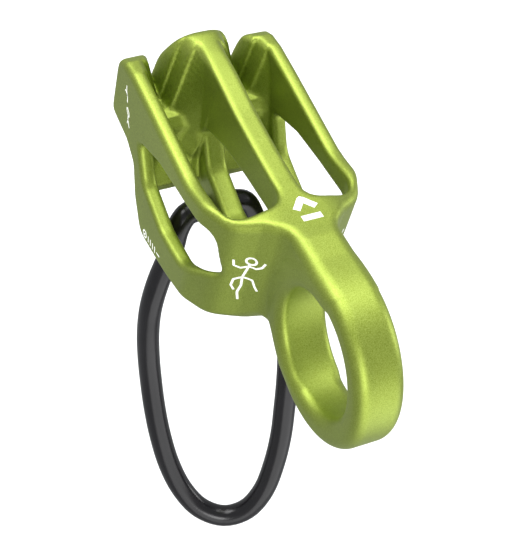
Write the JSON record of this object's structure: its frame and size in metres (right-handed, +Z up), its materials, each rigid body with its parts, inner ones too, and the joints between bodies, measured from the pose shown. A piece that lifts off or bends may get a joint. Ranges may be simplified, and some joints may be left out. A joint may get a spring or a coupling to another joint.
{
  "type": "belay device",
  "caption": "Forged tube belay device with two rope slots, toothed braking nose, side windows, an anchor eye and a swinging keeper loop of coated wire.",
  "frame": {"origin": "centre of the anchor eye, on the device's mid-plane", "axes": "+X across the width, along the anchor eye's hole; +Y from the anchor eye to the toothed nose; +Z up through the rope slots, away from the keeper loop"},
  "size_m": [0.0365, 0.0954, 0.1158],
  "materials": {
    "anodised_body": "satin bead-blasted lime-green anodising",
    "black_coat": "glossy black extruded coating",
    "wire": "bright drawn steel wire rope",
    "sleeve": "swaged steel sleeve"
  },
  "bodies": {
    "device": {"forged_body": "anodised_body"},
    "keeper": {"keeper_jacket": "black_coat", "keeper_wire": "wire", "keeper_ferrule": "sleeve"}
  },
  "joints": [
    {"name": "keeper_swing", "type": "hinge", "parent": "device", "child": "keeper", "pos_m": [0, 0.0515, -0.0202], "axis": [1, 0, 0], "range_deg": [-30, 80]}
  ]
}
